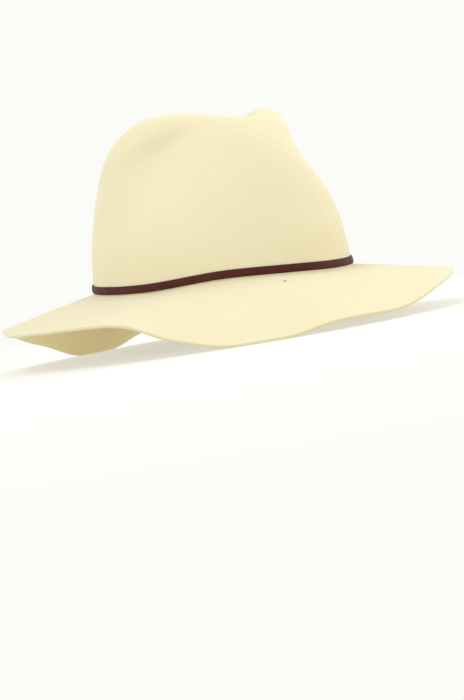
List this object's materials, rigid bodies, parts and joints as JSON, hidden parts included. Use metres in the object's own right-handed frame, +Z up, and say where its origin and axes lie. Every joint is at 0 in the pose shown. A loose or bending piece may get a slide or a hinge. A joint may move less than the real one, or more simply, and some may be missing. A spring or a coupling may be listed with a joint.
{
  "type": "fedora",
  "caption": "Wide-brimmed wool-felt fedora with a teardrop crown, two front pinches, a soft wavy brim and a narrow leather tape band.",
  "frame": {"origin": "on the surface that the hat rests on, under the middle of its bounding box", "axes": "+Z up, -Y towards the front of the hat, +X towards the wearer's left"},
  "size_m": [0.2983, 0.3264, 0.1538],
  "materials": {
    "felt": "matt cream wool felt with a short nap",
    "leather": "dark red-brown leather tape with a dull sheen"
  },
  "bodies": {
    "root": {"felt_body": "felt", "hat_band": "leather", "band_knot": "leather"}
  },
  "joints": []
}
